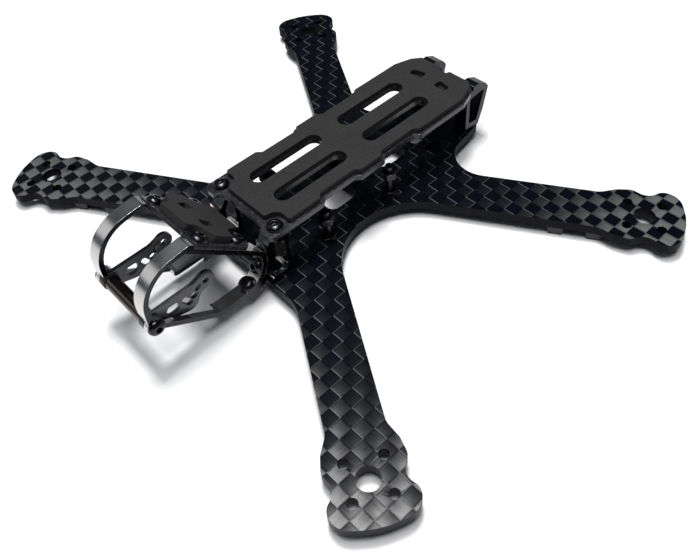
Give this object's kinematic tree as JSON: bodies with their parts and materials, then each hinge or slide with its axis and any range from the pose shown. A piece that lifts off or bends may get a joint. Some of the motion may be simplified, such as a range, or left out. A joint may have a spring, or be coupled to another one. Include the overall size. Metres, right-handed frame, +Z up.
{
  "type": "quadcopter frame",
  "caption": "Bare quadcopter frame: one-piece carbon cross plate with arms, raised top plate with grip pad, and a polished hoop camera cage with tilting levers.",
  "frame": {"origin": "on the ground under the centre of the four motors", "axes": "+Z up, the camera cage faces -Y, +X is the drone's left side"},
  "size_m": [0.2026, 0.1654, 0.0427],
  "materials": {
    "carbon": "woven carbon plate, satin resin",
    "deck_carbon": "gloss carbon plate",
    "foot_rubber": "soft black rubber",
    "grip_pad": "grainy foam rubber",
    "polished_metal": "polished",
    "lever_metal": "dark anodised",
    "tube_metal": "gunmetal anodised",
    "black_steel": "black oxide",
    "washer_black": "matt black"
  },
  "bodies": {
    "frame": {"main_plate": "carbon", "arm_feet": "foot_rubber", "top_plate": "deck_carbon", "battery_pad": "grip_pad", "front_bracket_left": "polished_metal", "front_bracket_right": "polished_metal", "rear_bracket_left": "polished_metal", "rear_bracket_right": "polished_metal", "cage_hoop_left": "polished_metal", "cage_hoop_right": "polished_metal", "cage_plate": "deck_carbon", "cage_pad": "grip_pad", "front_standoff": "tube_metal", "pivot_washers": "washer_black", "pivot_screws": "black_steel", "cage_plate_screws": "black_steel", "hoop_screws": "black_steel", "top_plate_front_screws": "black_steel", "top_plate_rear_screws": "black_steel", "front_foot_screws": "black_steel", "rear_foot_screws": "black_steel", "stack_bolts": "black_steel", "stack_base_nuts": "black_steel", "stack_top_nuts": "black_steel"},
    "left_lever": {"camera_lever_left": "lever_metal"},
    "right_lever": {"camera_lever_right": "lever_metal"}
  },
  "joints": [
    {"name": "camera_tilt_left", "type": "hinge", "parent": "frame", "child": "left_lever", "pos_m": [0.01135, -0.0815, 0.021], "axis": [-1, 0, 0], "range_deg": [-28, 31]},
    {"name": "camera_tilt_right", "type": "hinge", "parent": "frame", "child": "right_lever", "pos_m": [-0.01135, -0.0815, 0.021], "axis": [-1, 0, 0], "range_deg": [-28, 31]}
  ]
}
